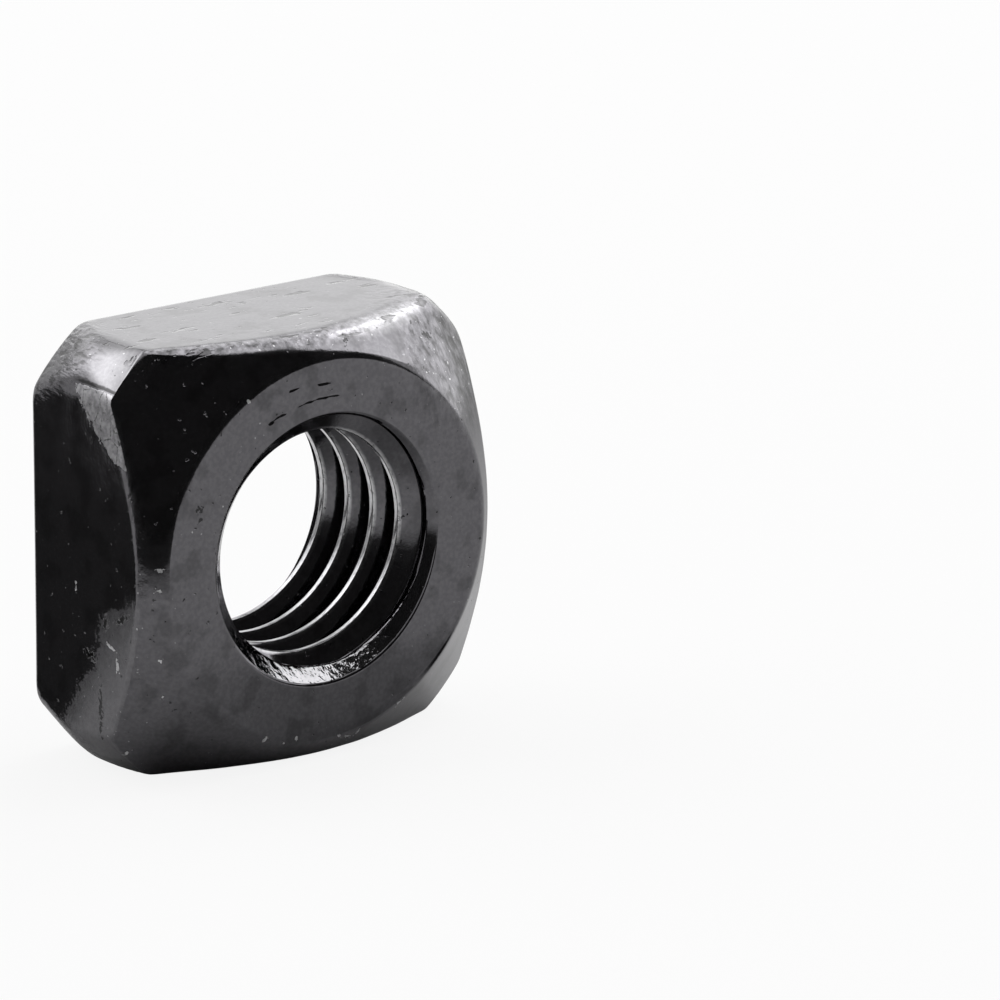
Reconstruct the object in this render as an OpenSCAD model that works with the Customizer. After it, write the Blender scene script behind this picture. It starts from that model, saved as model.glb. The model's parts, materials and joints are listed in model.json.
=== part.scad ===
// Square nut, chamfered on one face, standing on one of its flats.
// The thread axis lies along Y: the chamfered face looks to -Y, the bearing face to +Y.
// The nut rests on z = 0 with its thickness centred on y = 0. All sizes are in millimetres.

/* [Body] */
// Width across the flats
across_flats = 16; // [14:0.5:24]
// Thickness from the bearing face to the chamfered face
thickness = 7.3; // [6:0.1:13]

/* [Corners] */
// Radius of the four long corners
corner_radius = 1.9; // [0.5:0.1:4]
// How far the corners are drawn in at the edge of the chamfer
chamfer_corner_draw = 0.3; // [0.2:0.1:0.8]
// How far the corners are drawn in at the bearing face
bearing_corner_draw = 0.7; // [0.2:0.1:1.2]
// Slope of the drawn-in corners, measured from the thread axis
corner_draw_angle = 17; // [10:1:30]

/* [Chamfered face] */
// How far the edge of the round land lies inside the flats
land_inset = 0.8; // [0.3:0.1:1.8]
// Slope of the chamfer, measured from the face
chamfer_angle = 38; // [15:1:42]

/* [Bearing face] */
// Rounding of the four edges between the flats and the bearing face
bearing_edge_radius = 0.3; // [0.1:0.05:0.8]

/* [Thread] */
// Nominal diameter of the thread
thread_diameter = 10; // [6:0.5:11]
// Pitch of the thread
thread_pitch = 1.5; // [0.75:0.25:2]
// How much wider the countersinks are than the thread
countersink_oversize = 0.2; // [0.1:0.1:1]
// Angle between opposite sides of the countersinks
countersink_angle = 90; // [60:5:120]

/* [Hidden] */
$fn = 96;
steel_black = [0.10, 0.10, 0.11];
half_width = across_flats / 2;

// The corner's rounding leaves this distance from the axis to the long corner
corner_reach = (half_width - corner_radius) * sqrt(2) + corner_radius;
land_radius = half_width - land_inset;
bearing_reach = corner_reach - bearing_corner_draw;

// The chamfer ends at the corners at this distance from the axis and this height above the bearing face
chamfer_reach = corner_reach - chamfer_corner_draw;
chamfer_height = thickness - (chamfer_reach - land_radius) * tan(chamfer_angle);

// The two cones that draw the corners in would meet here, just outside the bar
draw_run = tan(corner_draw_angle);
ridge_height = (chamfer_reach - bearing_reach + chamfer_height * draw_run) / (2 * draw_run);
ridge_reach = bearing_reach + ridge_height * draw_run;

// The hole is bored to the tapping diameter, the nominal diameter less one pitch
hole_radius = (thread_diameter - thread_pitch) / 2;
countersink_radius = (thread_diameter + countersink_oversize) / 2;
countersink_depth = (countersink_radius - hole_radius) / tan(countersink_angle / 2);

// Cutting tools run this far past the faces they cut
overrun = 1;

// Cross-section of the bar: a square with round corners
module bar_section() {
    corner_centre = half_width - corner_radius;
    square([across_flats, 2 * corner_centre], center = true);
    square([2 * corner_centre, across_flats], center = true);
    for (x = [-1, 1], y = [-1, 1])
        translate([x * corner_centre, y * corner_centre])
            circle(r = corner_radius);
}

// Half outline of the turned form: land, chamfer and the corners drawn in towards both faces
module turned_outline() {
    polygon([
        [0, 0],
        [bearing_reach, 0],
        [ridge_reach, ridge_height],
        [chamfer_reach, chamfer_height],
        [land_radius, thickness],
        [0, thickness]
    ]);
}

// Side view of the nut between two flats, with the bearing face at the bottom and its edges rounded
module side_outline() {
    edge_centre = half_width - bearing_edge_radius;
    translate([-half_width, bearing_edge_radius])
        square([across_flats, thickness - bearing_edge_radius]);
    translate([-edge_centre, 0])
        square([2 * edge_centre, thickness]);
    for (x = [-1, 1])
        translate([x * edge_centre, bearing_edge_radius])
            circle(r = bearing_edge_radius);
}

// The side view carried straight through the nut, from flat to flat
module rounded_slab() {
    rotate([90, 0, 0])
        linear_extrude(across_flats, center = true)
            side_outline();
}

// Outside of the nut before it is bored, lying on its bearing face
module blank() {
    intersection() {
        linear_extrude(thickness) bar_section();
        rotate_extrude() turned_outline();
        rounded_slab();
        rotate([0, 0, 90]) rounded_slab();
    }
}

// Tapping hole with a countersink at each end, as one turned cutter
module hole_cutter() {
    mouth_radius = countersink_radius + overrun * tan(countersink_angle / 2);
    rotate_extrude()
        polygon([
            [0, -overrun],
            [mouth_radius, -overrun],
            [hole_radius, countersink_depth],
            [hole_radius, thickness - countersink_depth],
            [mouth_radius, thickness + overrun],
            [0, thickness + overrun]
        ]);
}

// The finished nut, stood on a flat with its chamfered face to -Y
module square_nut() {
    color(steel_black)
        translate([0, thickness / 2, half_width])
            rotate([90, 0, 0])
                difference() {
                    blank();
                    hole_cutter();
                }
}

square_nut();
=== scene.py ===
# %% [markdown]
# # A black square nut, standing on one of its flats
# The nut is one piece of steel: a slice of square bar with round corners, turned to a cone on one face,
# bored, countersunk and tapped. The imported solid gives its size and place. This lesson dresses it with
# what the solid leaves out: the cut thread, soft worn edges, and a thin glossy black finish with pits.

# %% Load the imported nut
import json
import math

import bmesh
import bpy
from mathutils import Matrix, Vector, noise


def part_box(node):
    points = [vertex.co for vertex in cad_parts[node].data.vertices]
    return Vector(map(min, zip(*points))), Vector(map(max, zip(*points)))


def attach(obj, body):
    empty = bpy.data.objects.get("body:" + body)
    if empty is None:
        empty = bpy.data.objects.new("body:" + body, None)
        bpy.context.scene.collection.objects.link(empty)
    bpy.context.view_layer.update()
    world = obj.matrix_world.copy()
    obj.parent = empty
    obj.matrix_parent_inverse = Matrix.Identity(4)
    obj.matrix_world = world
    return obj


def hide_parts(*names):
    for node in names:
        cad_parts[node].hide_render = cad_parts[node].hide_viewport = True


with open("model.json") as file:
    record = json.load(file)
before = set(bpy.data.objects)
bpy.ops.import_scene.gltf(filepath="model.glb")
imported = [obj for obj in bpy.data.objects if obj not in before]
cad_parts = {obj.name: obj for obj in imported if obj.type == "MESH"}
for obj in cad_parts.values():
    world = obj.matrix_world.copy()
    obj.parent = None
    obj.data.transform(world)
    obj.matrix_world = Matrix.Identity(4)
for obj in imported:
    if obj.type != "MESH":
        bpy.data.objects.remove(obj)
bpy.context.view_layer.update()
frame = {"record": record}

# %% [markdown]
# ## Sizes
# Everything that the solid already fixes is read from it, so the dressed nut can't drift away from it.
# The thread mount gives the tapping radius and the straight length between the two countersinks.
# The rest was measured on the same nut and is written in millimetres.

# %% Sizes from the frame
MM = 0.001
nut_low, nut_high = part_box("square_nut")
half_width = (nut_high.x - nut_low.x) / 2
thickness = nut_high.y - nut_low.y
front_y = nut_low.y
axis_z = nut_low.z + half_width

thread_mount = next(m for m in frame["record"]["mounts"] if m["name"] == "thread")
tapping_radius = thread_mount["dims"]["r_mm"] * MM
countersink_depth = (thickness - thread_mount["dims"]["length_mm"] * MM) / 2
countersink_radius = tapping_radius + countersink_depth
print("half width", half_width, "thickness", thickness, "countersink radius", countersink_radius)

# %% Sizes of the outside
corner_radius = 1.9 * MM
land_inset = 0.8 * MM
chamfer_angle = math.radians(38)
chamfer_corner_draw = 0.3 * MM
bearing_corner_draw = 0.7 * MM
corner_draw_angle = math.radians(17)
bearing_edge_radius = 0.3 * MM

corner_centre = half_width - corner_radius
corner_reach = corner_centre * math.sqrt(2) + corner_radius
land_radius = half_width - land_inset
chamfer_slope = math.tan(chamfer_angle)
chamfer_reach = corner_reach - chamfer_corner_draw
chamfer_corner_depth = (chamfer_reach - land_radius) * chamfer_slope
bearing_reach = corner_reach - bearing_corner_draw
corner_draw_slope = math.tan(corner_draw_angle)
print("corners reach", corner_reach, "and", chamfer_reach, "where the cone ends")

# %% [markdown]
# ## Two helpers for outlines
# Both the thread and the outside are drawn first as a half outline: distance from the axis against depth.
# `round_corner` puts an arc in place of a sharp corner, as a worn edge or a tool's radius does.
# `between` divides a straight run, so that the mesh has enough rows to bend smoothly.

# %% Outline helpers
def round_corner(before, corner, after, radius, steps):
    """Points of the arc that rounds one corner of an outline."""
    to_before = (before - corner).normalized()
    to_after = (after - corner).normalized()
    half_angle = to_before.angle(to_after) / 2
    centre = corner + (to_before + to_after).normalized() * radius / math.sin(half_angle)
    first = corner + to_before * radius / math.tan(half_angle) - centre
    last = corner + to_after * radius / math.tan(half_angle) - centre
    turn = math.pi - 2 * half_angle
    points = []
    for step in range(steps + 1):
        share = step / steps
        arm = first * math.sin((1 - share) * turn) + last * math.sin(share * turn)
        points.append(centre + arm / math.sin(turn))
    return points


def between(start, end, shares):
    """Points on the straight run from start to end, at the given shares of its length."""
    return [start.lerp(end, share) for share in shares]


def even(count):
    """Shares that cut a run into count equal parts, without its ends."""
    return [step / count for step in range(1, count)]


def soft_least(a, b, blend):
    """The smaller of two lengths, with the change from one to the other rounded over blend."""
    near = max(blend - abs(a - b), 0) / blend
    return min(a, b) - near * near * blend / 4


# %% [markdown]
# ## The thread
# A tap cuts one long spiral groove, so the thread is one outline of a single pitch, carried round the axis
# and forward at the same time. bmesh's spin does that when it gets a step along the axis (dvec).
# A stack of rings would look like a thread from afar, but its crests would never climb. The crests here
# stand where the real ones do: the spiral starts at the phase measured on the nut.

# %% One pitch of the thread's outline
pitch = 1.5 * MM
root_radius = 5.0 * MM
crest_half = 0.11 * MM
flank_angle = math.radians(30)
flank_run = (root_radius - tapping_radius) * math.tan(flank_angle)
crest_rounding = 0.06 * MM
root_rounding = 0.1 * MM

root_start = Vector((root_radius, -pitch / 2))
root_corner = Vector((root_radius, -crest_half - flank_run))
crest_corner = Vector((tapping_radius, -crest_half))
crest_top = Vector((tapping_radius, 0))

root_arc = round_corner(root_start, root_corner, crest_corner, root_rounding, 3)
crest_arc = round_corner(root_corner, crest_corner, crest_top, crest_rounding, 3)
half_pitch = [root_start, *between(root_start, root_arc[0], even(2)), *root_arc]
half_pitch += [*between(root_arc[-1], crest_arc[0], even(6)), *crest_arc, crest_top]
other_half = [Vector((p.x, -p.y)) for p in reversed(half_pitch[:-1])]
thread_outline = half_pitch + other_half
print("thread outline has", len(thread_outline), "points for a pitch of", pitch)

# %% Carry the outline once round and forward
crest_phase_y = 2.286 * MM
turns = 7
steps_per_turn = 240
first_crest_y = crest_phase_y + 2 * pitch
axis_point = Vector((0, 0, axis_z))
axis_forward = Vector((0, -1, 0))

nut_mesh = bmesh.new()
outline_verts = [nut_mesh.verts.new((p.x, first_crest_y + p.y, axis_z)) for p in thread_outline]
outline_edges = [nut_mesh.edges.new(pair) for pair in zip(outline_verts, outline_verts[1:])]
bmesh.ops.spin(
    nut_mesh, geom=outline_verts + outline_edges, cent=axis_point, axis=axis_forward,
    dvec=axis_forward * pitch / steps_per_turn, angle=2 * math.pi, steps=steps_per_turn,
    use_merge=False, use_duplicate=False,
)
one_turn = nut_mesh.verts[:] + nut_mesh.edges[:] + nut_mesh.faces[:]
print("one turn has", len(nut_mesh.faces), "faces")

# %% Set the turns end to end
weld_distance = 0.0005 * MM
for turn in range(1, turns):
    copied = bmesh.ops.duplicate(nut_mesh, geom=one_turn)["geom"]
    copied_verts = [g for g in copied if isinstance(g, bmesh.types.BMVert)]
    bmesh.ops.translate(nut_mesh, verts=copied_verts, vec=axis_forward * pitch * turn)
bmesh.ops.remove_doubles(nut_mesh, verts=nut_mesh.verts[:], dist=weld_distance)
print("spiral has", len(nut_mesh.faces), "faces")

# %% [markdown]
# ## The countersinks
# A countersink is a short cone that takes the sharp start off the thread. Each point of the spiral that
# lies inside the cone is pushed out onto it, and the spiral is then cut off square just under the two faces.

# %% Press the two cones into the spiral
cone_blend = 0.04 * MM
crest_band = 0.05 * MM
crest_shine = nut_mesh.verts.layers.float.new("crest_shine")
chatter = nut_mesh.verts.layers.float.new("chatter")
edge_wear = nut_mesh.verts.layers.float.new("edge_wear")
scuff_sheen_shade = nut_mesh.verts.layers.float.new("scuff_sheen_shade")
rough_corner = nut_mesh.verts.layers.float.new("rough_corner")


def place_on_axis(radius, angle, depth):
    """A point at a distance and angle round the thread axis, at a depth behind the front face."""
    return Vector((radius * math.cos(angle), front_y + depth, axis_z + radius * math.sin(angle)))


for vert in nut_mesh.verts:
    radius = math.hypot(vert.co.x, vert.co.z - axis_z)
    angle = math.atan2(vert.co.z - axis_z, vert.co.x)
    depth = vert.co.y - front_y
    cone = countersink_radius - min(depth, thickness - depth)
    vert[crest_shine] = 1.0 if radius < tapping_radius + crest_band and cone < radius else 0.0
    vert[chatter] = 1.0 if cone > radius else 0.0
    radius = -soft_least(-radius, -cone, cone_blend)
    vert.co = place_on_axis(radius, angle, depth)
print("points on bright crests:", sum(vert[crest_shine] > 0 for vert in nut_mesh.verts))

# %% Cut the spiral off at the two faces
rim_depth = 0.06 * MM
cut_tolerance = 0.0001 * MM
for depth, outward in ((rim_depth, -1), (thickness - rim_depth, 1)):
    everything = nut_mesh.verts[:] + nut_mesh.edges[:] + nut_mesh.faces[:]
    bmesh.ops.bisect_plane(
        nut_mesh, geom=everything, dist=cut_tolerance, plane_co=(0, front_y + depth, axis_z),
        plane_no=(0, outward, 0), clear_outer=True,
    )
print("thread trimmed to", len(nut_mesh.faces), "faces")

# %% [markdown]
# ## Crisp start of the thread
# Where the groove runs out into the countersink it leaves a sharp ridge, and smooth shading would blur that
# into a black crescent. Splitting the mesh there would open it, so the edges are only marked as sharp.
# In the lower half smooth shading gives the thin bright line that the real nut shows, so there it stays.

# %% Mark the sharp edges
crisp_turn = math.radians(30)
crisp_count = 0
for edge in nut_mesh.edges:
    in_upper_half = all(vert.co.z > axis_z for vert in edge.verts)
    if in_upper_half and len(edge.link_faces) == 2 and edge.calc_face_angle() > crisp_turn:
        edge.smooth = False
        crisp_count += 1
print("sharp edges:", crisp_count)

# %% Find the two rims
rim_tolerance = 0.002 * MM


def rim_edges(depth):
    """Open edges of the mesh that lie at one depth."""
    found = []
    for edge in nut_mesh.edges:
        if edge.is_boundary and all(abs(v.co.y - front_y - depth) < rim_tolerance for v in edge.verts):
            found.append(edge)
    return found


front_rim = rim_edges(rim_depth)
back_rim = rim_edges(thickness - rim_depth)
print("rims of", len(front_rim), "and", len(back_rim), "edges")

# %% [markdown]
# ## The outside
# Seen along the axis the nut is a square with round corners; seen from the side it is land, cone, flat and
# bearing face. So for each direction round the axis there is one half outline, and only the distance to the
# side changes. The mesh starts as one ring at the countersink and is extruded ring by ring along that
# outline, which keeps the rows of faces in line with the curved edges between the cone and the flats.
# Those edges are soft on the real nut, most of all on top, so they get an arc.

# %% Distance to the side of the bar
def bar_reach(angle):
    """Distance from the axis to the side of the round-cornered square bar."""
    wide = max(abs(math.cos(angle)), abs(math.sin(angle)))
    narrow = min(abs(math.cos(angle)), abs(math.sin(angle)))
    if half_width * narrow / wide <= corner_centre:
        return half_width / wide
    along = corner_centre * (wide + narrow)
    return along + math.sqrt(along * along - 2 * corner_centre**2 + corner_radius**2)


at_corner_angle = math.pi / 4
print("flat and corner of the bar lie at", bar_reach(0), "and", bar_reach(at_corner_angle))

# %% Corners drawn in towards both faces
crease_blend = 0.08 * MM
corner_blend = 0.36 * MM
back_blend = 0.24 * MM
corner_half_angle = math.radians(8)


def within(value, low, high, soft):
    """One inside a stretch, nought outside it, with soft ends."""
    share = min(value - low, high - value) / soft
    return max(0.0, min(share, 1.0))


def corner_share(angle):
    """One on the middle of a corner, nought beside it."""
    from_corner = abs((angle % (math.pi / 2)) - math.pi / 4)
    return max(0.0, 1 - from_corner / corner_half_angle)


def drawn_reach(angle, depth):
    """Reach of the side at a depth: two cones draw the corners in, one from each face."""
    front_blend = crease_blend + (corner_blend - crease_blend) * corner_share(angle)
    from_back = bearing_reach + (thickness - depth) * corner_draw_slope
    from_front = chamfer_reach + (depth - chamfer_corner_depth) * corner_draw_slope
    return soft_least(soft_least(bar_reach(angle), from_back, back_blend), from_front, front_blend)


print("corner at the bearing face lies at", drawn_reach(at_corner_angle, thickness))

# %% Softness of the edge between cone and flat
edge_radius_at_sides = 0.8 * MM
edge_radius_on_top = 1.5 * MM
edge_radius_growth = 0.09
edge_radius_top_least = 0.45 * MM
edge_radius_top_most = 1.9 * MM
edge_radius_at_corner = 0.1 * MM
edge_radius_low_corner = 0.45 * MM
edge_radius_top_corner = 0.5 * MM
edge_radius_bruised = 0.9 * MM
struck_focus = 8
corner_focus = 6
edge_waves = 9
edge_unevenness = 0.1


def chamfer_edge_radius(angle, reach):
    """Large on top and growing to the right, where the nut was struck; less at the sides and the corners."""
    across = reach * math.cos(angle)
    along_flat, at_corner = edge_radius_at_sides, edge_radius_at_corner
    if math.sin(angle) < 0:
        at_corner = edge_radius_low_corner
    if reach * math.sin(angle) > abs(across):
        at_corner += (edge_radius_top_corner - at_corner) * (1 - corner_share(angle))
        grown = edge_radius_on_top + edge_radius_growth * across
        along_flat = max(edge_radius_top_least, min(grown, edge_radius_top_most))
    struck = max(0, math.cos(angle - at_corner_angle))**struck_focus
    at_corner += edge_radius_bruised * struck
    to_corner = min((reach - half_width) / (chamfer_reach - half_width), 1)
    uneven = noise.noise(Vector((edge_waves * math.cos(angle), edge_waves * math.sin(angle), 3.7)))
    even_radius = along_flat + (at_corner - along_flat) * to_corner**corner_focus
    return even_radius * (1 + edge_unevenness * uneven)


print("edge radius in the middle of the top:", chamfer_edge_radius(math.pi / 2, half_width))

# %% [markdown]
# ## Tool marks, scuffs with painted reflection, and rough corners
# The upper part of the land has a few short ragged rings, as a turning tool leaves them. They have a depth
# of their own, so they are cut into the shape; a painted line wouldn't catch the light.
# Scuffs, and the rough skin of the corners at the back, have next to no depth. They are only laid on the
# mesh as shares from nought to one, which the steel reads later; the scuffs' lighter steel is partly a
# painted reflection. Where a scuff ends in a fine crease at an upper front corner, its share goes below
# nought, and the steel paints that crease dark as painted shade.

# %% Tool marks in the land
tool_marks = [(5.80, 82, 105), (5.84, 107, 119), (6.50, 99, 108), (6.32, 86, 96), (6.62, 70, 74)]
tool_mark_half = 0.07 * MM
tool_mark_deep = 0.05 * MM
tool_mark_wobble = 0.05 * MM
wobble_degrees = 4
bite_degrees = 2.5
bite_mean = 0.75
bite_swing = 0.9
mark_end_soft = 3


def mark_depth(radius, angle):
    """How deep the ragged tool marks lie at one place of the land."""
    degrees = math.degrees(angle) % 360
    wobble = tool_mark_wobble * noise.noise(Vector((degrees / wobble_degrees, 0, 2.3)))
    bite = max(0, bite_mean + bite_swing * noise.noise(Vector((degrees / bite_degrees, 0, 7.1))))
    deepest = 0.0
    for mark_radius, first, last in tool_marks:
        across = (radius - mark_radius * MM - wobble) / tool_mark_half
        if abs(across) < 1:
            deep = tool_mark_deep * bite * (1 - across**2) * within(degrees, first, last, mark_end_soft)
            deepest = max(deepest, deep)
    return deepest


print("tool marks:", len(tool_marks))

# %% Scuffs, partly painted reflection, on the two upright flats, and rough corners at the back
scuff_start = 8.93 * MM
scuff_depth_least = 1.4 * MM
scuff_depth_more = 3.35 * MM
scuff_past_flat = 0.12 * MM
scuff_soft = 0.6 * MM
# Painted shade: the width of the dark line along the crease beside each upper front corner.
crease_shade_wide = 0.056 * MM
rough_start = -0.45 * MM
rough_soft = 0.35 * MM
far_away = 1.0
# The lower scuff of the left flat, partly a painted reflection of the lit floor: its border as height and
# depth in millimetres.
low_scuff_sheen = [
    (7.2, 0.5), (6.9, 1.7), (6.65, 2.8), (6.2, 3.5), (5.2, 3.8),
    (4.2, 4.0), (3.7, 4.5), (2.7, 5.3), (1.6, 6.0), (0.3, 6.6),
]
low_scuff_sheen_top = low_scuff_sheen[0][0] * MM
low_scuff_sheen_soft = 0.9 * MM


def low_scuff_sheen_border(height):
    """Depth to which the lower scuff of the left flat, partly a painted reflection, reaches at a height
    above the floor.
    """
    for (upper, depth_above), (lower, depth_below) in zip(low_scuff_sheen, low_scuff_sheen[1:]):
        if lower <= height / MM <= upper:
            share = (upper - height / MM) / (upper - lower)
            return (depth_above + (depth_below - depth_above) * share) * MM
    return 0.0


def scuff_sheen_shade_share(angle, reach, depth):
    """Share of scuff, partly painted reflection, beside the front corners; below nought in the corner's
    crease, painted shade.
    """
    if abs(math.cos(angle)) < abs(math.sin(angle)):
        return 0.0
    height = reach * math.sin(angle) + half_width
    if height < low_scuff_sheen_top and math.cos(angle) < 0:
        return within(depth, -far_away, low_scuff_sheen_border(height), low_scuff_sheen_soft)
    if height < half_width or reach < scuff_start:
        return 0.0
    along = min((reach - scuff_start) / (chamfer_reach - scuff_start), 1)
    border = scuff_depth_least + scuff_depth_more * along**0.5
    to_front = within(depth, -far_away, border, scuff_soft)
    crease_reach = chamfer_reach + scuff_past_flat
    if 0 <= reach - crease_reach < crease_shade_wide:
        return -to_front
    return to_front if reach < crease_reach else 0.0


def rough_share(reach, depth):
    """How far a corner is drawn in towards the bearing face, where the forging left it rough."""
    from_back = bearing_reach + (thickness - depth) * corner_draw_slope
    return within(reach - from_back, rough_start, far_away, rough_soft)


print("low scuff starts at", low_scuff_sheen_top, "above the floor")

# %% Half outline in one direction
countersink_edge_radius = 0.2 * MM
land_edge_radius = 0.7 * MM
side_sample = 0.8 * MM
chamfer_arc_steps = 10
mouth_wear = 0.1
land_wear = 0.35
chamfer_wear = 1.0
bearing_wear = 0.6


def worn(arc, most):
    """Points of an arc with their wear, which is most in the middle of the arc."""
    return [(p, most * math.sin(math.pi * step / (len(arc) - 1))) for step, p in enumerate(arc)]


def half_outline(angle):
    """Rows of the outside in one direction, each with its edge wear, scuffs and roughness."""
    reach = bar_reach(angle)
    edge_reach = soft_least(reach, chamfer_reach, crease_blend)
    inner = Vector((countersink_radius - countersink_depth, countersink_depth))
    mouth = Vector((countersink_radius, 0))
    land_edge = Vector((land_radius, 0))
    edge = Vector((edge_reach, (edge_reach - land_radius) * chamfer_slope))
    side_start = Vector((drawn_reach(angle, edge.y + side_sample), edge.y + side_sample))
    side_end = Vector((drawn_reach(angle, thickness - side_sample), thickness - side_sample))
    bearing_corner = Vector((drawn_reach(angle, thickness), thickness))
    back_mouth = Vector((countersink_radius, thickness))
    back_inner = Vector((inner.x, thickness - inner.y))

    mouth_arc = round_corner(inner, mouth, land_edge, countersink_edge_radius, 4)
    land_arc = round_corner(mouth, land_edge, edge, land_edge_radius, 5)
    edge_radius = chamfer_edge_radius(angle, reach)
    edge_arc = round_corner(land_edge, edge, side_start, edge_radius, chamfer_arc_steps)
    bearing_arc = round_corner(side_end, bearing_corner, back_mouth, bearing_edge_radius, 6)
    back_arc = round_corner(bearing_corner, back_mouth, back_inner, countersink_edge_radius, 4)

    land = between(mouth_arc[-1], land_arc[0], [0.01, *even(26), 0.99])
    land = [Vector((p.x, p.y + mark_depth(p.x, angle))) for p in land]
    side = between(edge_arc[-1], Vector((reach, bearing_arc[0].y)), [0.01, *even(28), 0.99])
    side = [Vector((drawn_reach(angle, p.y), p.y)) for p in side]
    held = [0.02, 0.25, 0.5, 0.75, 0.98]

    rows = [(p, wear, 0.0, 0.0) for p, wear in worn(mouth_arc, mouth_wear)[1:]]
    rows += [(p, 0.0, 0.0, 0.0) for p in land]
    rows += [(p, wear, 0.0, 0.0) for p, wear in worn(land_arc, land_wear)]
    cone = between(land_arc[-1], edge_arc[0], [0.02, 0.2, 0.4, 0.6, 0.8, 0.98])
    rows += [(p, 0.0, 0.0, 0.0) for p in cone]
    rows += [(p, wear, scuff_sheen_shade_share(angle, reach, p.y) if step > chamfer_arc_steps // 2 else 0.0, 0.0)
             for step, (p, wear) in enumerate(worn(edge_arc, chamfer_wear))]
    rows += [(p, 0.0, scuff_sheen_shade_share(angle, reach, p.y), rough_share(reach, p.y)) for p in side]
    rows += [(p, wear, 0.0, rough_share(reach, p.y)) for p, wear in worn(bearing_arc, bearing_wear)]
    rows += [(p, 0.0, 0.0, 0.0) for p in between(bearing_arc[-1], back_arc[0], held)]
    rows += [(p, wear, 0.0, 0.0) for p, wear in worn(back_arc, mouth_wear)[:-1]]
    return rows


# %% Extrude the rings
ring_count = 480
lie_across_axis = Matrix.Translation(axis_point) @ Matrix.Rotation(math.pi / 2, 4, "X")
ring = bmesh.ops.create_circle(
    nut_mesh, cap_ends=False, segments=ring_count, radius=countersink_radius, matrix=lie_across_axis
)["verts"]
outlines = {}


def shape_ring(verts, row):
    """Moves the verts of one ring to their places on that row of the outline."""
    for vert in verts:
        angle = math.atan2(vert.co.z - axis_z, vert.co.x)
        key = round(angle, 5)
        if key not in outlines:
            outlines[key] = half_outline(angle)
        place, vert[edge_wear], vert[scuff_sheen_shade], vert[rough_corner] = outlines[key][row]
        vert.co = place_on_axis(place.x, key, place.y)


shape_ring(ring, 0)
ring_edges = list({edge for vert in ring for edge in vert.link_edges})
first_ring_edges = ring_edges
for row in range(1, len(half_outline(0))):
    grown = bmesh.ops.extrude_edge_only(nut_mesh, edges=ring_edges)["geom"]
    shape_ring([g for g in grown if isinstance(g, bmesh.types.BMVert)], row)
    ring_edges = [g for g in grown if isinstance(g, bmesh.types.BMEdge) and g.is_boundary]
print("outside has", len(half_outline(0)), "rings of", ring_count)

# %% Join the outside to the thread
bmesh.ops.bridge_loops(nut_mesh, edges=front_rim + first_ring_edges)
bmesh.ops.bridge_loops(nut_mesh, edges=back_rim + ring_edges)
bmesh.ops.recalc_face_normals(nut_mesh, faces=nut_mesh.faces[:])
open_edges = [edge for edge in nut_mesh.edges if not edge.is_manifold]
triangles = sum(len(face.verts) - 2 for face in nut_mesh.faces)
print("open edges:", len(open_edges), "triangles:", triangles, "volume mm3:", nut_mesh.calc_volume() * 1e9)

# %% Make the piece
for face in nut_mesh.faces:
    face.smooth = True
nut_data = bpy.data.meshes.new("nut_body")
nut_mesh.to_mesh(nut_data)
nut_mesh.free()
nut = bpy.data.objects.new("nut_body", nut_data)
bpy.context.scene.collection.objects.link(nut)
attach(nut, "root")
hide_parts("square_nut")
print("piece", nut.name, "has", len(nut_data.polygons), "faces")

# %% [markdown]
# ## The finish
# The nut is steel with a thin black skin, taken to be oxide under oil: dark, glossy and slightly wavy, so
# most of what one sees on it is the room. A painted black would stay black where the real nut turns light
# grey, so the steel is a dark metal that mirrors its surroundings. Wear, and some painted light, is told by
# the five layers on the mesh: crests that the tap left bright, painted brighter towards the top as a
# highlight; rough countersinks, painted lighter low down, partly as a highlight; soft edges; scuffed flats,
# partly painted reflection, with their creases painted dark as shade; and rough back corners.
# All patterns are made at real size, in blotches to a millimetre, and every height is in millimetres.

# %% Helpers for the steel's nodes
steel = bpy.data.materials.new("black_steel")
steel.use_nodes = True
tree = steel.node_tree
shader = tree.nodes["Principled BSDF"]
shader.inputs["Metallic"].default_value = 1.0


def add(kind, **settings):
    """A new node of the steel with its settings."""
    made = tree.nodes.new(kind)
    for name, value in settings.items():
        setattr(made, name, value)
    return made


def feed(value, socket):
    """Links an output to a socket, or writes a plain value there."""
    if isinstance(value, bpy.types.NodeSocket):
        tree.links.new(value, socket)
    else:
        socket.default_value = value


def work(operation, a, b, clamp=False):
    """One step of arithmetic on two values."""
    made = add("ShaderNodeMath", operation=operation, use_clamp=clamp)
    feed(a, made.inputs[0])
    feed(b, made.inputs[1])
    return made.outputs[0]


def times(a, b):
    """The product of two values."""
    return work("MULTIPLY", a, b)


def fade(value, low, high, to_low=0.0, to_high=1.0):
    """Moves a value smoothly from to_low to to_high as it goes from low to high."""
    made = add("ShaderNodeMapRange", interpolation_type="SMOOTHSTEP")
    feed(value, made.inputs["Value"])
    for name, bound in (("From Min", low), ("From Max", high), ("To Min", to_low), ("To Max", to_high)):
        feed(bound, made.inputs[name])
    return made.outputs["Result"]


def blend(share, first, second):
    """A colour between two colours."""
    made = add("ShaderNodeMix", data_type="RGBA")
    feed(share, made.inputs["Factor"])
    feed(first, made.inputs["A"])
    feed(second, made.inputs["B"])
    return made.outputs["Result"]


def placed(stretch, turn):
    """Object coordinates, stretched and turned for one pattern."""
    made = add("ShaderNodeMapping")
    tree.links.new(spot, made.inputs["Vector"])
    made.inputs["Scale"].default_value = stretch
    made.inputs["Rotation"].default_value = [math.radians(angle) for angle in turn]
    return made.outputs["Vector"]


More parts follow.
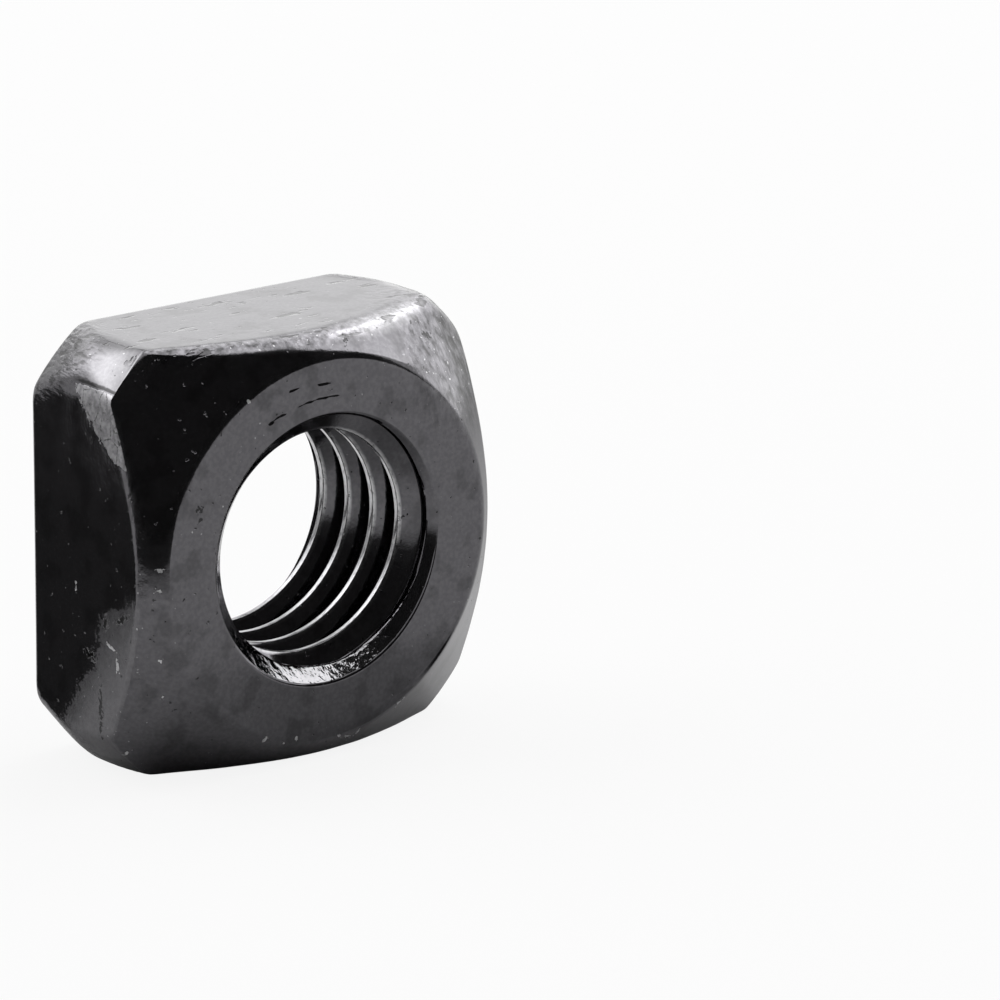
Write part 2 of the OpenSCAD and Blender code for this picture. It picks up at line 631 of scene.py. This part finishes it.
def cloud(per_mm, detail=3.0, stretch=(1, 1, 1), turn=(0, 0, 0)):
    """A soft random pattern with so many blotches to a millimetre."""
    made = add("ShaderNodeTexNoise")
    feed(placed(stretch, turn), made.inputs["Vector"])
    made.inputs["Scale"].default_value = per_mm / MM
    made.inputs["Detail"].default_value = detail
    return made.outputs["Fac"]


def specks(per_mm, level, stretch=(1, 1, 1), turn=(0, 0, 0)):
    """Scattered ragged specks: the few peaks of a fine pattern that rise above a level."""
    return fade(cloud(per_mm, 2.0, stretch, turn), level, level + 0.03)


def ragged_edge(coarse, coarse_much, fine, fine_much):
    """An unevenness round nought, from a coarse and a fine pattern."""
    coarse_part = times(work("SUBTRACT", coarse, 0.5), coarse_much)
    return work("ADD", coarse_part, times(work("SUBTRACT", fine, 0.5), fine_much))


# %% Patterns of the steel
spot = add("ShaderNodeTexCoord").outputs["Object"]
on_crest = add("ShaderNodeAttribute", attribute_name="crest_shine").outputs["Fac"]
on_countersink = add("ShaderNodeAttribute", attribute_name="chatter").outputs["Fac"]
on_edge = add("ShaderNodeAttribute", attribute_name="edge_wear").outputs["Fac"]
on_scuff_sheen_shade = add("ShaderNodeAttribute", attribute_name="scuff_sheen_shade").outputs["Fac"]
on_rough_corner = add("ShaderNodeAttribute", attribute_name="rough_corner").outputs["Fac"]

grain = cloud(9.0, detail=4.0)
fine_mottle = cloud(6.5)
mottle = cloud(3.2)
blotch = cloud(0.9)
radial_streaks = cloud(3.0, stretch=(1, 1, 0.25))
upright_streaks = cloud(4.0, detail=4.0, stretch=(1, 1, 0.3))
flakes = cloud(4.5, detail=3.0, stretch=(1, 0.35, 1))
split_spot = add("ShaderNodeSeparateXYZ")
feed(spot, split_spot.inputs[0])
above_floor = split_spot.outputs["Z"]
to_right = split_spot.outputs["X"]
print("patterns take", len(tree.nodes), "nodes")

# %% Masks of wear
def near(middle, far, close):
    """Nought beyond a distance from a place of the nut, and one close to it, all in millimetres."""
    away = add("ShaderNodeVectorMath", operation="DISTANCE")
    feed(spot, away.inputs[0])
    away.inputs[1].default_value = Vector(middle) * MM
    return fade(away.outputs["Value"], far * MM, close * MM)


bruised = near((6.8, -2.0, 14.4), 4.2, 1.5)
shaded_corner = times(bruised, fade(to_right, 6.2 * MM, 7.1 * MM))
rubbed_corner_and_highlight = near((-7.35, -0.7, 15.3), 1.7, 0.4)
beside_corner = times(fade(to_right, 1.0 * MM, 3.0 * MM), fade(to_right, 6.6 * MM, 5.4 * MM))

scuff_edge = ragged_edge(mottle, 1.7, grain, 1.4)
scuff_and_sheen = times(fade(work("ADD", on_scuff_sheen_shade, scuff_edge), 0.42, 0.62), fade(on_scuff_sheen_shade, 0.05, 0.2))
# Painted shade: a thin dark line where a scuff ends in the crease at an upper front corner.
painted_crease_shade = fade(work("ADD", on_scuff_sheen_shade, times(scuff_edge, 0.4)), -0.15, -0.6)
painted_crease_shade = times(painted_crease_shade, fade(on_scuff_sheen_shade, 0.0, -0.15))
bare_crest = times(on_crest, fade(cloud(4.5, stretch=(1, 3, 1)), 0.3, 0.55, 0.3, 1.0))
upper = fade(above_floor, 8.5 * MM, 11 * MM)
struck = work("MAXIMUM", bruised, times(on_edge, upper))
rubbed_edge_and_highlight = times(times(on_edge, upper), beside_corner)
chipped = times(work("MAXIMUM", struck, on_edge), work("MAXIMUM", specks(3.6, 0.73), specks(7.5, 0.72)))
low_countersink_bare_and_highlight = times(on_countersink, fade(above_floor, 4.4 * MM, 3.4 * MM))
rough_countersink = times(on_countersink, fade(above_floor, 8.0 * MM, 5.5 * MM))
dust = times(work("MAXIMUM", specks(6.0, 0.715), specks(2.8, 0.75)), fade(blotch, 0.47, 0.62))
on_top = fade(above_floor, 15.4 * MM, 15.9 * MM)
dashes = times(on_top, fade(cloud(2.4, 2.0, (0.3, 1, 1)), 0.38, 0.335))
pitted = work("MAXIMUM", dashes, fade(cloud(3.6, 2.0), 0.285, 0.255))
cracks = add("ShaderNodeTexVoronoi", feature="DISTANCE_TO_EDGE")
feed(placed((1, 1, 0.6), (20, 0, 0)), cracks.inputs["Vector"])
cracks.inputs["Scale"].default_value = 1.5 / MM
crack_lines = fade(work("ADD", cracks.outputs["Distance"], times(grain, 0.16)), 0.115, 0.08)
cracked = times(times(scuff_and_sheen, upper), times(crack_lines, fade(mottle, 0.42, 0.55)))
print("with the masks of wear:", len(tree.nodes), "nodes")

# %% [markdown]
# ## Single nicks
# Some marks on the real nut are single ones with a place of their own: dark dents, and bright spots where
# the skin was knocked off. Scattered noise would put them anywhere, so each is a small ellipsoid at its
# place, and the steel's own patterns make its border ragged.

# %% Single nicks
nick_edge = ragged_edge(fine_mottle, 4.0, grain, 3.0)


def nick(middle, half_sizes, turn=(0, 0, 0)):
    """One ragged mark: an ellipsoid with its middle and half sizes in millimetres, turned in degrees."""
    made = add("ShaderNodeMapping", vector_type="TEXTURE")
    feed(spot, made.inputs["Vector"])
    made.inputs["Location"].default_value = Vector(middle) * MM
    made.inputs["Rotation"].default_value = [math.radians(angle) for angle in turn]
    made.inputs["Scale"].default_value = Vector(half_sizes) * MM
    away = add("ShaderNodeVectorMath", operation="LENGTH")
    feed(made.outputs["Vector"], away.inputs[0])
    return fade(work("ADD", away.outputs["Value"], nick_edge), 1.15, 0.8)


def nicks(marks):
    """Several single marks as one mask."""
    mask = nick(*marks[0])
    for mark in marks[1:]:
        mask = work("MAXIMUM", mask, nick(*mark))
    return mask


dark_nicks = nicks([
    ((-8, -0.55, 2.7), (0.3, 0.09, 0.85)), ((-8, 0.1, 4.6), (0.3, 0.32, 0.13), (25, 0, 0)),
    ((-8, -1.9, 6.4), (0.3, 0.4, 0.1), (-30, 0, 0)), ((-8, -0.9, 6.0), (0.3, 0.12, 0.25), (15, 0, 0)),
    ((0.95, -3.05, 15.25), (0.09, 0.3, 0.42), (0, 25, 0)), ((5.5, -2.4, 14.9), (0.22, 0.4, 0.1), (0, 20, 0)),
    ((-5.8, -3.65, 10.5), (0.12, 0.3, 0.12)), ((-5.8, -3.65, 10.1), (0.13, 0.3, 0.05), (0, -30, 0)),
])
bright_nicks = nicks([
    ((-8, -1.2, 5.2), (0.3, 0.28, 0.05), (20, 0, 0)), ((-8, -1.6, 4.6), (0.3, 0.08, 0.25)),
    ((-8, 0.9, 6.95), (0.3, 0.04, 0.16)), ((-7.25, -3.2, 5.0), (0.08, 0.3, 0.06), (0, 30, 0)),
    ((-7.5, -3.45, 7.75), (0.09, 0.3, 0.07)), ((-7.42, -3.5, 8.5), (0.1, 0.3, 0.06)),
    ((-6.9, -3.05, 3.5), (0.06, 0.3, 0.05)), ((-7.4, -1.3, 1.15), (0.05, 0.15, 0.13), (0, 35, 0)),
    ((-3.55, -3.6, 14.15), (0.06, 0.3, 0.05)), ((1.04, -3.45, 0.62), (0.16, 0.3, 0.05), (0, 20, 0)),
    ((0.55, -3.5, 0.75), (0.14, 0.3, 0.05), (0, 30, 0)), ((1.5, -3.45, 0.7), (0.06, 0.3, 0.12), (0, 30, 0)),
    ((3.34, -3.5, 1.45), (0.06, 0.3, 0.12), (0, 25, 0)), ((3.6, -3.5, 1.6), (0.05, 0.3, 0.1), (0, 20, 0)),
    ((-2.85, -3.5, 1.28), (0.07, 0.3, 0.09)), ((-2.0, -3.5, 0.98), (0.06, 0.3, 0.07)),
    ((-1.48, -3.6, 1.05), (0.06, 0.3, 0.06)),
])
print("with the single nicks:", len(tree.nodes), "nodes")

# %% [markdown]
# ## Colour, gloss and unevenness
# Some colours paint light as well: painted shade on the struck corner and in the creases, and painted
# highlights and reflection on rubbed spots, the crests, the low countersink and the scuffs.
# The colours go on in the order in which they lie on each other: the black skin first, then scuffs and bare
# metal, then dust, dents and nicks. Each is a mask that mixes one more colour over those before it.
# Worn places are duller too, and the bump gives them heights of up to some hundredths of a millimetre.

# %% Colour of the steel
oxide = (0.118, 0.115, 0.123, 1)
oxide_thin = (0.140, 0.137, 0.145, 1)
thin = (0.24, 0.235, 0.25, 1)
soot_and_shade = (0.03, 0.03, 0.03, 1)
rubbed_sheen = (0.42, 0.415, 0.43, 1)
rubbed_sheen_low = (0.17, 0.167, 0.175, 1)
bare_and_highlight = (0.45, 0.45, 0.46, 1)
crest_metal_and_highlight = (0.7, 0.7, 0.71, 1)
chip_and_highlight = (0.75, 0.75, 0.76, 1)
colour = blend(fade(fine_mottle, 0.35, 0.68), oxide, oxide_thin)
colour = blend(fade(blotch, 0.5, 0.36, 0, 0.3), colour, soot_and_shade)
colour = blend(times(struck, fade(upright_streaks, 0.46, 0.66, 0, 0.6)), colour, thin)
colour = blend(times(struck, fade(upright_streaks, 0.46, 0.34, 0, 0.7)), colour, soot_and_shade)
# Painted shade: the struck corner darkens towards its right side.
colour = blend(times(shaded_corner, fade(upright_streaks, 0.6, 0.4, 0.6, 0.95)), colour, soot_and_shade)
# Rubbed spots on the upper left corner and the top edge: partly worn steel, partly a painted highlight where
# the brightest highlights lie.
colour = blend(times(work("MAXIMUM", times(rubbed_corner_and_highlight, 0.7), rubbed_edge_and_highlight), 0.12), colour, chip_and_highlight)
colour = blend(times(on_rough_corner, fade(flakes, 0.5, 0.4, 0, 0.7)), colour, soot_and_shade)
# Scuffed patches: lighter, duller steel that is partly scuff and partly a painted reflection of the lit
# floor.
scuff_and_sheen_colour = blend(upper, rubbed_sheen_low, rubbed_sheen)
scuff_cover = times(fade(fine_mottle, 0.3, 0.65, 0.6, 1.0), fade(mottle, 0.35, 0.6, 0.55, 1.0))
colour = blend(times(scuff_and_sheen, scuff_cover), colour, scuff_and_sheen_colour)
colour = blend(times(work("MAXIMUM", cracked, pitted), 0.75), colour, soot_and_shade)
# The lower countersink is painted lighter: partly bare metal, partly a painted highlight.
colour = blend(times(low_countersink_bare_and_highlight, 0.33), colour, bare_and_highlight)
# Bare crests, painted brighter towards the top as a painted highlight.
colour = blend(times(bare_crest, fade(above_floor, 5.5 * MM, 9.5 * MM, 0.25, 0.9)), colour, crest_metal_and_highlight)
colour = blend(work("MAXIMUM", times(chipped, 0.5), times(dust, 0.45)), colour, chip_and_highlight)
# Dark nicks, and the crease painted dark as shade.
colour = blend(times(work("MAXIMUM", dark_nicks, painted_crease_shade), 0.85), colour, soot_and_shade)
colour = blend(times(bright_nicks, 0.7), colour, chip_and_highlight)
feed(colour, shader.inputs["Base Color"])
print("with the colours:", len(tree.nodes), "nodes")

# %% Gloss of the steel
gloss = fade(blotch, 0.35, 0.7, 0.065, 0.1)
scuff_gloss = times(scuff_and_sheen, fade(upper, 0, 1, 0.14, 0.32))
for share, amount in (
    (scuff_gloss, 1.0), (bare_crest, 0.10), (on_rough_corner, 0.12), (struck, 0.17),
    (dust, 0.15), (bright_nicks, 0.3),
):
    gloss = work("ADD", gloss, times(share, amount), clamp=True)
feed(gloss, shader.inputs["Roughness"])
print("with the gloss:", len(tree.nodes), "nodes")

# %% Unevenness of the steel
height = times(grain, 0.0012)
for share, pattern, amount in (
    (1.0, blotch, 0.007), (on_edge, mottle, 0.014), (on_edge, fine_mottle, 0.003),
    (times(scuff_and_sheen, upper), fine_mottle, 0.008), (on_rough_corner, flakes, 0.05),
    (rough_countersink, radial_streaks, 0.06), (bruised, upright_streaks, 0.017), (pitted, 1.0, -0.015),
    (dark_nicks, 1.0, -0.012), (bright_nicks, 1.0, -0.012),
):
    height = work("ADD", height, times(times(share, pattern), amount))
bump = add("ShaderNodeBump")
bump.inputs["Distance"].default_value = MM
feed(height, bump.inputs["Height"])
feed(bump.outputs["Normal"], shader.inputs["Normal"])
nut_data.materials.append(steel)
print("steel has", len(tree.nodes), "nodes")

# %% [markdown]
# ## Floor
# The nut stands on a plain white sheet. For the camera the sheet is partly lit from itself, so that it comes
# out white with only a soft shadow; the nut's own reflections still meet the real, shaded sheet.

# %% Helpers for the studio
def stage_card(name, corners, grey):
    """A flat card of the studio, from its corners in millimetres."""
    card_mesh = bmesh.new()
    card_mesh.faces.new([card_mesh.verts.new(Vector(c) * MM) for c in corners])
    return stage_piece(name, card_mesh, grey)


def stage_piece(name, made_mesh, grey):
    """Makes a mesh a matt grey piece of the studio."""
    data = bpy.data.meshes.new(name)
    made_mesh.to_mesh(data)
    made_mesh.free()
    piece = bpy.data.objects.new(name, data)
    bpy.context.scene.collection.objects.link(piece)
    paint = bpy.data.materials.new(name)
    paint.use_nodes = True
    matt = paint.node_tree.nodes["Principled BSDF"]
    matt.inputs["Base Color"].default_value = (grey, grey, grey, 1)
    matt.inputs["Roughness"].default_value = 1.0
    matt.inputs["Specular IOR Level"].default_value = 0.0
    data.materials.append(paint)
    return piece


# %% White floor
floor_half = 3000
floor_grey = 0.64
floor_glow = 0.88
floor_corners = [
    (-floor_half, -floor_half, 0), (floor_half, -floor_half, 0),
    (floor_half, floor_half, 0), (-floor_half, floor_half, 0),
]
sheet = stage_card("floor", floor_corners, floor_grey)
sheet_nodes = sheet.data.materials[0].node_tree
sheet_ray = sheet_nodes.nodes.new("ShaderNodeLightPath")
sheet_share = sheet_nodes.nodes.new("ShaderNodeMath")
sheet_share.operation = "MULTIPLY"
sheet_share.inputs[1].default_value = floor_glow
sheet_glow = sheet_nodes.nodes.new("ShaderNodeEmission")
sheet_glow.inputs["Color"].default_value = (1, 1, 1, 1)
sheet_mix = sheet_nodes.nodes.new("ShaderNodeMixShader")
sheet_nodes.links.new(sheet_ray.outputs["Is Camera Ray"], sheet_share.inputs[0])
sheet_nodes.links.new(sheet_share.outputs[0], sheet_mix.inputs[0])
sheet_nodes.links.new(sheet_nodes.nodes["Principled BSDF"].outputs[0], sheet_mix.inputs[1])
sheet_nodes.links.new(sheet_glow.outputs[0], sheet_mix.inputs[2])
sheet_nodes.links.new(sheet_mix.outputs[0], sheet_nodes.nodes["Material Output"].inputs["Surface"])
print("floor is", 2 * floor_half, "mm wide")

# %% [markdown]
# ## Black flags and painted shadows
# A glossy black thing is drawn by what it mirrors. In front of the nut, where the camera stands, the room is
# dark, and that makes most of the cone black. Studios hang black cloth ("flags") to shape such reflections.
# The flags here are met by reflections only: they cast no shadow and the camera doesn't see them.
# Two cards on the floor are painted shadow: beside and in front of the nut they stand for the shade that
# the nut casts on the floor, as the steel mirrors it.

# %% Flags and painted shadows on the floor
def reflections_only(piece):
    """Keeps a flag out of everything but the nut's reflections."""
    piece.visible_camera = False
    piece.visible_diffuse = False
    piece.visible_shadow = False
    piece.visible_transmission = False


def floor_flag(name, corners, grey=0.0, height=0.04):
    """A cloth that lies just above the floor, from its corners in millimetres: a flag, or a painted shadow.
    """
    flag = stage_card(name, [(x, y, height) for x, y in corners], grey)
    reflections_only(flag)
    return flag.data.materials[0].node_tree


def fade_out(paint, middle, near, far, grey_near, grey_far):
    """Lets the grey of a flag change with the distance from a spot on the floor."""
    place = paint.nodes.new("ShaderNodeTexCoord")
    away = paint.nodes.new("ShaderNodeVectorMath")
    away.operation = "DISTANCE"
    away.inputs[1].default_value = (middle[0] * MM, middle[1] * MM, 0)
    change = paint.nodes.new("ShaderNodeMapRange")
    change.interpolation_type = "SMOOTHSTEP"
    bounds = {"From Min": near * MM, "From Max": far * MM, "To Min": grey_near, "To Max": grey_far}
    for name, bound in bounds.items():
        change.inputs[name].default_value = bound
    paint.links.new(place.outputs["Object"], away.inputs[0])
    paint.links.new(away.outputs["Value"], change.inputs["Value"])
    paint.links.new(change.outputs["Result"], paint.nodes["Principled BSDF"].inputs["Base Color"])


# Painted shadow: a near-black card behind and left of the nut, where the floor lies in the nut's shade, as
# the left flat mirrors it.
floor_flag("painted_shadow_left", [(-8.2, 2.7), (-22.3, 16.8), (-22.6, 10), (-33.2, 20), (-33.2, 32), (-39.4, 42.4),
                         (-60, 75), (-30, 75)], 0.05)
front_paint = floor_flag("flag_front", [(-18, -18), (-24, 0), (-28, 8), (-600, 160), (-600, -600),
                                        (-30, -600), (-2, -30)])
fade_out(front_paint, (0, 0), 22, 52, 0.62, 0.05)
# Painted shadow: a grey card in front of the nut, for the nut's own shade on the floor, as the land mirrors
# it.
near_shadow_paint = floor_flag("painted_shadow_near", [(-4, -4), (16, -4), (16, -17), (-4, -17)])
fade_out(near_shadow_paint, (6, -8), 4.5, 9, 0.42, 0.64)
right_paint = floor_flag("flag_right", [(6.5, -3.2), (14, -3.2), (14, -8), (6.5, -8)], height=0.08)
fade_out(right_paint, (10, -4.7), 1.0, 3.2, 0.03, 0.5)

# %% Flag hung round the camera
def hung_flag(name, first, last, low, high, distance, grey):
    """A cloth hung as part of a dome: from one azimuth to another, and from one elevation to another."""
    flag_mesh = bmesh.new()
    turn = Matrix.Rotation(math.radians(first), 3, "Z")
    strip = []
    for elevation in range(low, high + 1, 4):
        e = math.radians(elevation)
        strip.append(flag_mesh.verts.new(turn @ Vector((0, -math.cos(e), math.sin(e))) * distance * MM))
    edges = [flag_mesh.edges.new(pair) for pair in zip(strip, strip[1:])]
    bmesh.ops.spin(flag_mesh, geom=strip + edges, cent=(0, 0, 0), axis=(0, 0, 1),
                   angle=math.radians(last - first), steps=24)
    reflections_only(stage_piece(name, flag_mesh, grey))


hung_flag("flag_room", -105, 55, 0, 64, 600, 0.04)

# %% [markdown]
# ## Soft boxes
# Soft boxes stand round the back and the right of the nut and one hangs above it. Their brightness is
# given as what a mirror would show, so it can be set from the grey that the steel should show there.
# The key light fades towards its edge, so that the highlight on the upper corner has no hard border.

# %% Lights
box_distance = 900
box_gap = 5


def soft_box(name, azimuth, elevation, half_across, half_up, brightness, distance=box_distance):
    """A soft box facing the nut; its size is the angle that it fills, its brightness what a mirror shows."""
    lamp_data = bpy.data.lights.new(name, "AREA")
    lamp_data.shape = "ELLIPSE"
    lamp_data.size = 2 * distance * MM * math.tan(math.radians(half_across))
    lamp_data.size_y = 2 * distance * MM * math.tan(math.radians(half_up))
    lamp_data.energy = brightness * math.pi * lamp_data.size * lamp_data.size_y * math.pi / 4
    lamp = bpy.data.objects.new(name, lamp_data)
    bpy.context.scene.collection.objects.link(lamp)
    a, e = math.radians(azimuth), math.radians(elevation)
    out = Vector((math.sin(a) * math.cos(e), -math.cos(a) * math.cos(e), math.sin(e)))
    lamp.location = axis_point + out * distance * MM
    lamp.rotation_euler = out.to_track_quat("Z", "Y").to_euler()
    lamp.visible_camera = False


def soft_edged_box(name, azimuth, elevation, half_across, half_up, brightness, steps=7, least=0.3):
    """Soft boxes of falling size, one behind the other, so that the light fades towards its edge."""
    for step in range(steps):
        size = 1 - (1 - least) * step / (steps - 1)
        soft_box("%s_%d" % (name, step + 1), azimuth, elevation, half_across * size, half_up * size,
                 brightness / steps, box_distance + box_gap * step)


soft_box("key_wide", 208, 38, 46, 24, 0.9)
soft_edged_box("key", 211, 41, 40, 25, 2.9)
soft_box("right_high", 82, 38, 28, 21, 2.6)
soft_box("right_low", 100, 8, 36, 9, 1.5)
soft_box("back_high", 126, 42, 16, 14, 2.1)
soft_box("back_fill", 143, 15, 24, 15, 0.95)
soft_box("overhead", 85, 76, 34, 14, 2.0)
soft_box("right_core", 104, 41, 11, 8, 1.8)
print("soft boxes:", len(bpy.data.lights))

# %% [markdown]
# ## White room
# The sheet runs into a white background, as paper does in a studio. The camera sees the room plain white,
# the nut mirrors it a little darker, and it lights the sheet only a little, so the soft boxes keep shaping
# the nut.

# %% White room
world = bpy.data.worlds.new("studio")
bpy.context.scene.world = world
world.use_nodes = True
world.cycles.sampling_method = "NONE"
air = world.node_tree
sky = air.nodes["Background"]
sky.inputs["Color"].default_value = (1, 1, 1, 1)
ray = air.nodes.new("ShaderNodeLightPath")
strength = ray.outputs["Is Camera Ray"]
for kind, seen in (("Is Transmission Ray", 1.0), ("Is Glossy Ray", 0.75), ("Is Diffuse Ray", 0.1)):
    either = air.nodes.new("ShaderNodeMath")
    either.operation = "MULTIPLY_ADD"
    air.links.new(ray.outputs[kind], either.inputs[0])
    either.inputs[1].default_value = seen
    air.links.new(strength, either.inputs[2])
    strength = either.outputs[0]
air.links.new(strength, sky.inputs["Strength"])
print("room has", len(air.nodes), "nodes")

# %% [markdown]
# ## Camera
# The camera was fitted to the outline of the real nut: a long lens from the front left, a little above it.
# A long lens keeps opposite edges nearly parallel, so a small error in its distance hardly changes the
# shape.

# %% Camera
camera_place = Vector((-169.57, -224.54, 90.69)) * MM
camera_roll = math.radians(0.241)
camera_data = bpy.data.cameras.new("camera")
camera_data.sensor_width = 36
camera_data.lens = 288
camera_data.clip_start = 0.01
camera_data.clip_end = 10
camera = bpy.data.objects.new("camera", camera_data)
bpy.context.scene.collection.objects.link(camera)
camera.location = camera_place
aim = Vector((6.815, -5.117, 8.972)) * MM
look = (aim - camera.location).to_track_quat("-Z", "Y").to_matrix()
camera.rotation_euler = (look @ Matrix.Rotation(camera_roll, 3, "Z")).to_euler()
bpy.context.scene.camera = camera
bpy.context.scene.view_settings.view_transform = "Standard"
print("camera is", (aim - camera_place).length, "away from what it looks at")
